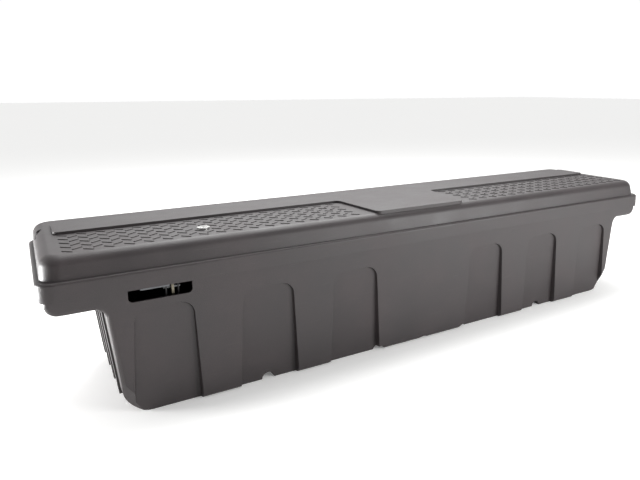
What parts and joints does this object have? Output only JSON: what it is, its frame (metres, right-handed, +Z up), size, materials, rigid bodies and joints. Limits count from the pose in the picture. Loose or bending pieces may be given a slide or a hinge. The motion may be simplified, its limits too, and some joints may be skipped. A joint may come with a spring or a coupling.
{
  "type": "truck tool box",
  "caption": "Long moulded crossover tool box for a pick-up bed, with a deep panelled tub, a hinged tread-pattern lid, a slam latch with key lock, and gas struts.",
  "frame": {"origin": "centre of the tub's underside, on the surface the box stands on", "axes": "+X along the box to the right end seen from the front, +Y to the hinge side, +Z up"},
  "size_m": [1.778, 0.4315, 0.37],
  "materials": {
    "moulded_polyethylene": "fine matt moulding grain",
    "liner_plastic": "smooth matt sheet",
    "seal_rubber": "soft closed-cell rubber",
    "zinc_plated_steel": "bright zinc plating",
    "hinge_steel": "brushed stainless steel",
    "plain_steel": "plain rolled steel",
    "black_steel": "black powder coat",
    "rod_chrome": "polished hard chrome",
    "lock_metal": "nickel-plated die casting",
    "strut_nylon": "moulded glass-filled nylon",
    "bush_nylon": "natural nylon",
    "paddle_plastic": "moulded grey plastic",
    "brace_aluminium": "mill-finish extrusion"
  },
  "bodies": {
    "tub": {"tub_shell": "moulded_polyethylene", "rim_seal": "seal_rubber", "striker_bracket": "black_steel", "striker_bar": "plain_steel", "striker_screws": "zinc_plated_steel", "hinge_leaf_tub_left": "hinge_steel", "hinge_leaf_tub_centre": "hinge_steel", "hinge_leaf_tub_right": "hinge_steel", "hinge_pin_left": "zinc_plated_steel", "hinge_pin_centre": "zinc_plated_steel", "hinge_pin_right": "zinc_plated_steel", "hinge_screws_tub": "zinc_plated_steel", "strut_bracket_tub_left": "black_steel", "strut_bracket_tub_right": "black_steel", "strut_bracket_screws_tub": "zinc_plated_steel"},
    "lid": {"lid_shell": "moulded_polyethylene", "lid_liner": "liner_plastic", "lid_brace_front": "brace_aluminium", "lid_brace_rear": "brace_aluminium", "liner_screws": "zinc_plated_steel", "hinge_leaf_lid_left": "hinge_steel", "hinge_leaf_lid_centre": "hinge_steel", "hinge_leaf_lid_right": "hinge_steel", "hinge_screws_lid": "zinc_plated_steel", "latch_bracket": "plain_steel", "latch_bracket_screws": "zinc_plated_steel", "latch_pin": "zinc_plated_steel", "latch_spring": "plain_steel", "lock_body": "lock_metal", "lock_nut": "zinc_plated_steel", "spindle_bush": "bush_nylon", "strut_bracket_lid_left": "black_steel", "strut_bracket_lid_right": "black_steel", "strut_bracket_screws_lid": "zinc_plated_steel"},
    "latch": {"latch_lever": "zinc_plated_steel", "release_paddle": "paddle_plastic", "paddle_rivets": "zinc_plated_steel"},
    "lock": {"lock_plug": "lock_metal", "lock_spindle": "plain_steel", "lock_cam": "plain_steel", "cam_nut": "zinc_plated_steel"},
    "strut_tube_left": {"strut_eye_lower_left": "strut_nylon", "strut_cylinder_left": "black_steel", "strut_gland_left": "strut_nylon"},
    "strut_plunger_left": {"strut_rod_left": "rod_chrome", "strut_piston_left": "plain_steel", "strut_eye_upper_left": "strut_nylon"},
    "strut_tube_right": {"strut_eye_lower_right": "strut_nylon", "strut_cylinder_right": "black_steel", "strut_gland_right": "strut_nylon"},
    "strut_plunger_right": {"strut_rod_right": "rod_chrome", "strut_piston_right": "plain_steel", "strut_eye_upper_right": "strut_nylon"}
  },
  "joints": [
    {"name": "lid_hinge", "type": "hinge", "parent": "tub", "child": "lid", "pos_m": [0, 0.216, 0.28], "axis": [-1, 0, 0], "range_deg": [0, 80]},
    {"name": "latch_pivot", "type": "hinge", "parent": "lid", "child": "latch", "pos_m": [-0.642, -0.165, 0.292], "axis": [-1, 0, 0], "range_deg": [0, 22], "stiffness_Nm_per_rad": 0.5, "springref_deg": -20.05},
    {"name": "lock_turn", "type": "hinge", "parent": "lid", "child": "lock", "pos_m": [-0.553, -0.105, 0.35], "axis": [0, 0, -1], "range_deg": [-90, 0]},
    {"name": "strut_foot_left", "type": "hinge", "parent": "tub", "child": "strut_tube_left", "pos_m": [-0.735, 0.14627, 0.08323], "axis": [-1, 0, 0], "range_deg": [0, 40.5]},
    {"name": "strut_head_left", "type": "hinge", "parent": "lid", "child": "strut_plunger_left", "pos_m": [-0.735, 0.0073, 0.285], "axis": [-1, 0, 0], "range_deg": [-40.5, 0]},
    {"name": "strut_foot_right", "type": "hinge", "parent": "tub", "child": "strut_tube_right", "pos_m": [0.735, 0.14627, 0.08323], "axis": [-1, 0, 0], "range_deg": [0, 40.5]},
    {"name": "strut_head_right", "type": "hinge", "parent": "lid", "child": "strut_plunger_right", "pos_m": [0.735, 0.0073, 0.285], "axis": [-1, 0, 0], "range_deg": [-40.5, 0]}
  ],
  "couplings": [
    {"joint": "strut_foot_left", "follows": "lid_hinge", "ratio": 0.5},
    {"joint": "strut_head_left", "follows": "lid_hinge", "ratio": -0.5},
    {"joint": "strut_foot_right", "follows": "lid_hinge", "ratio": 0.5},
    {"joint": "strut_head_right", "follows": "lid_hinge", "ratio": -0.5}
  ]
}
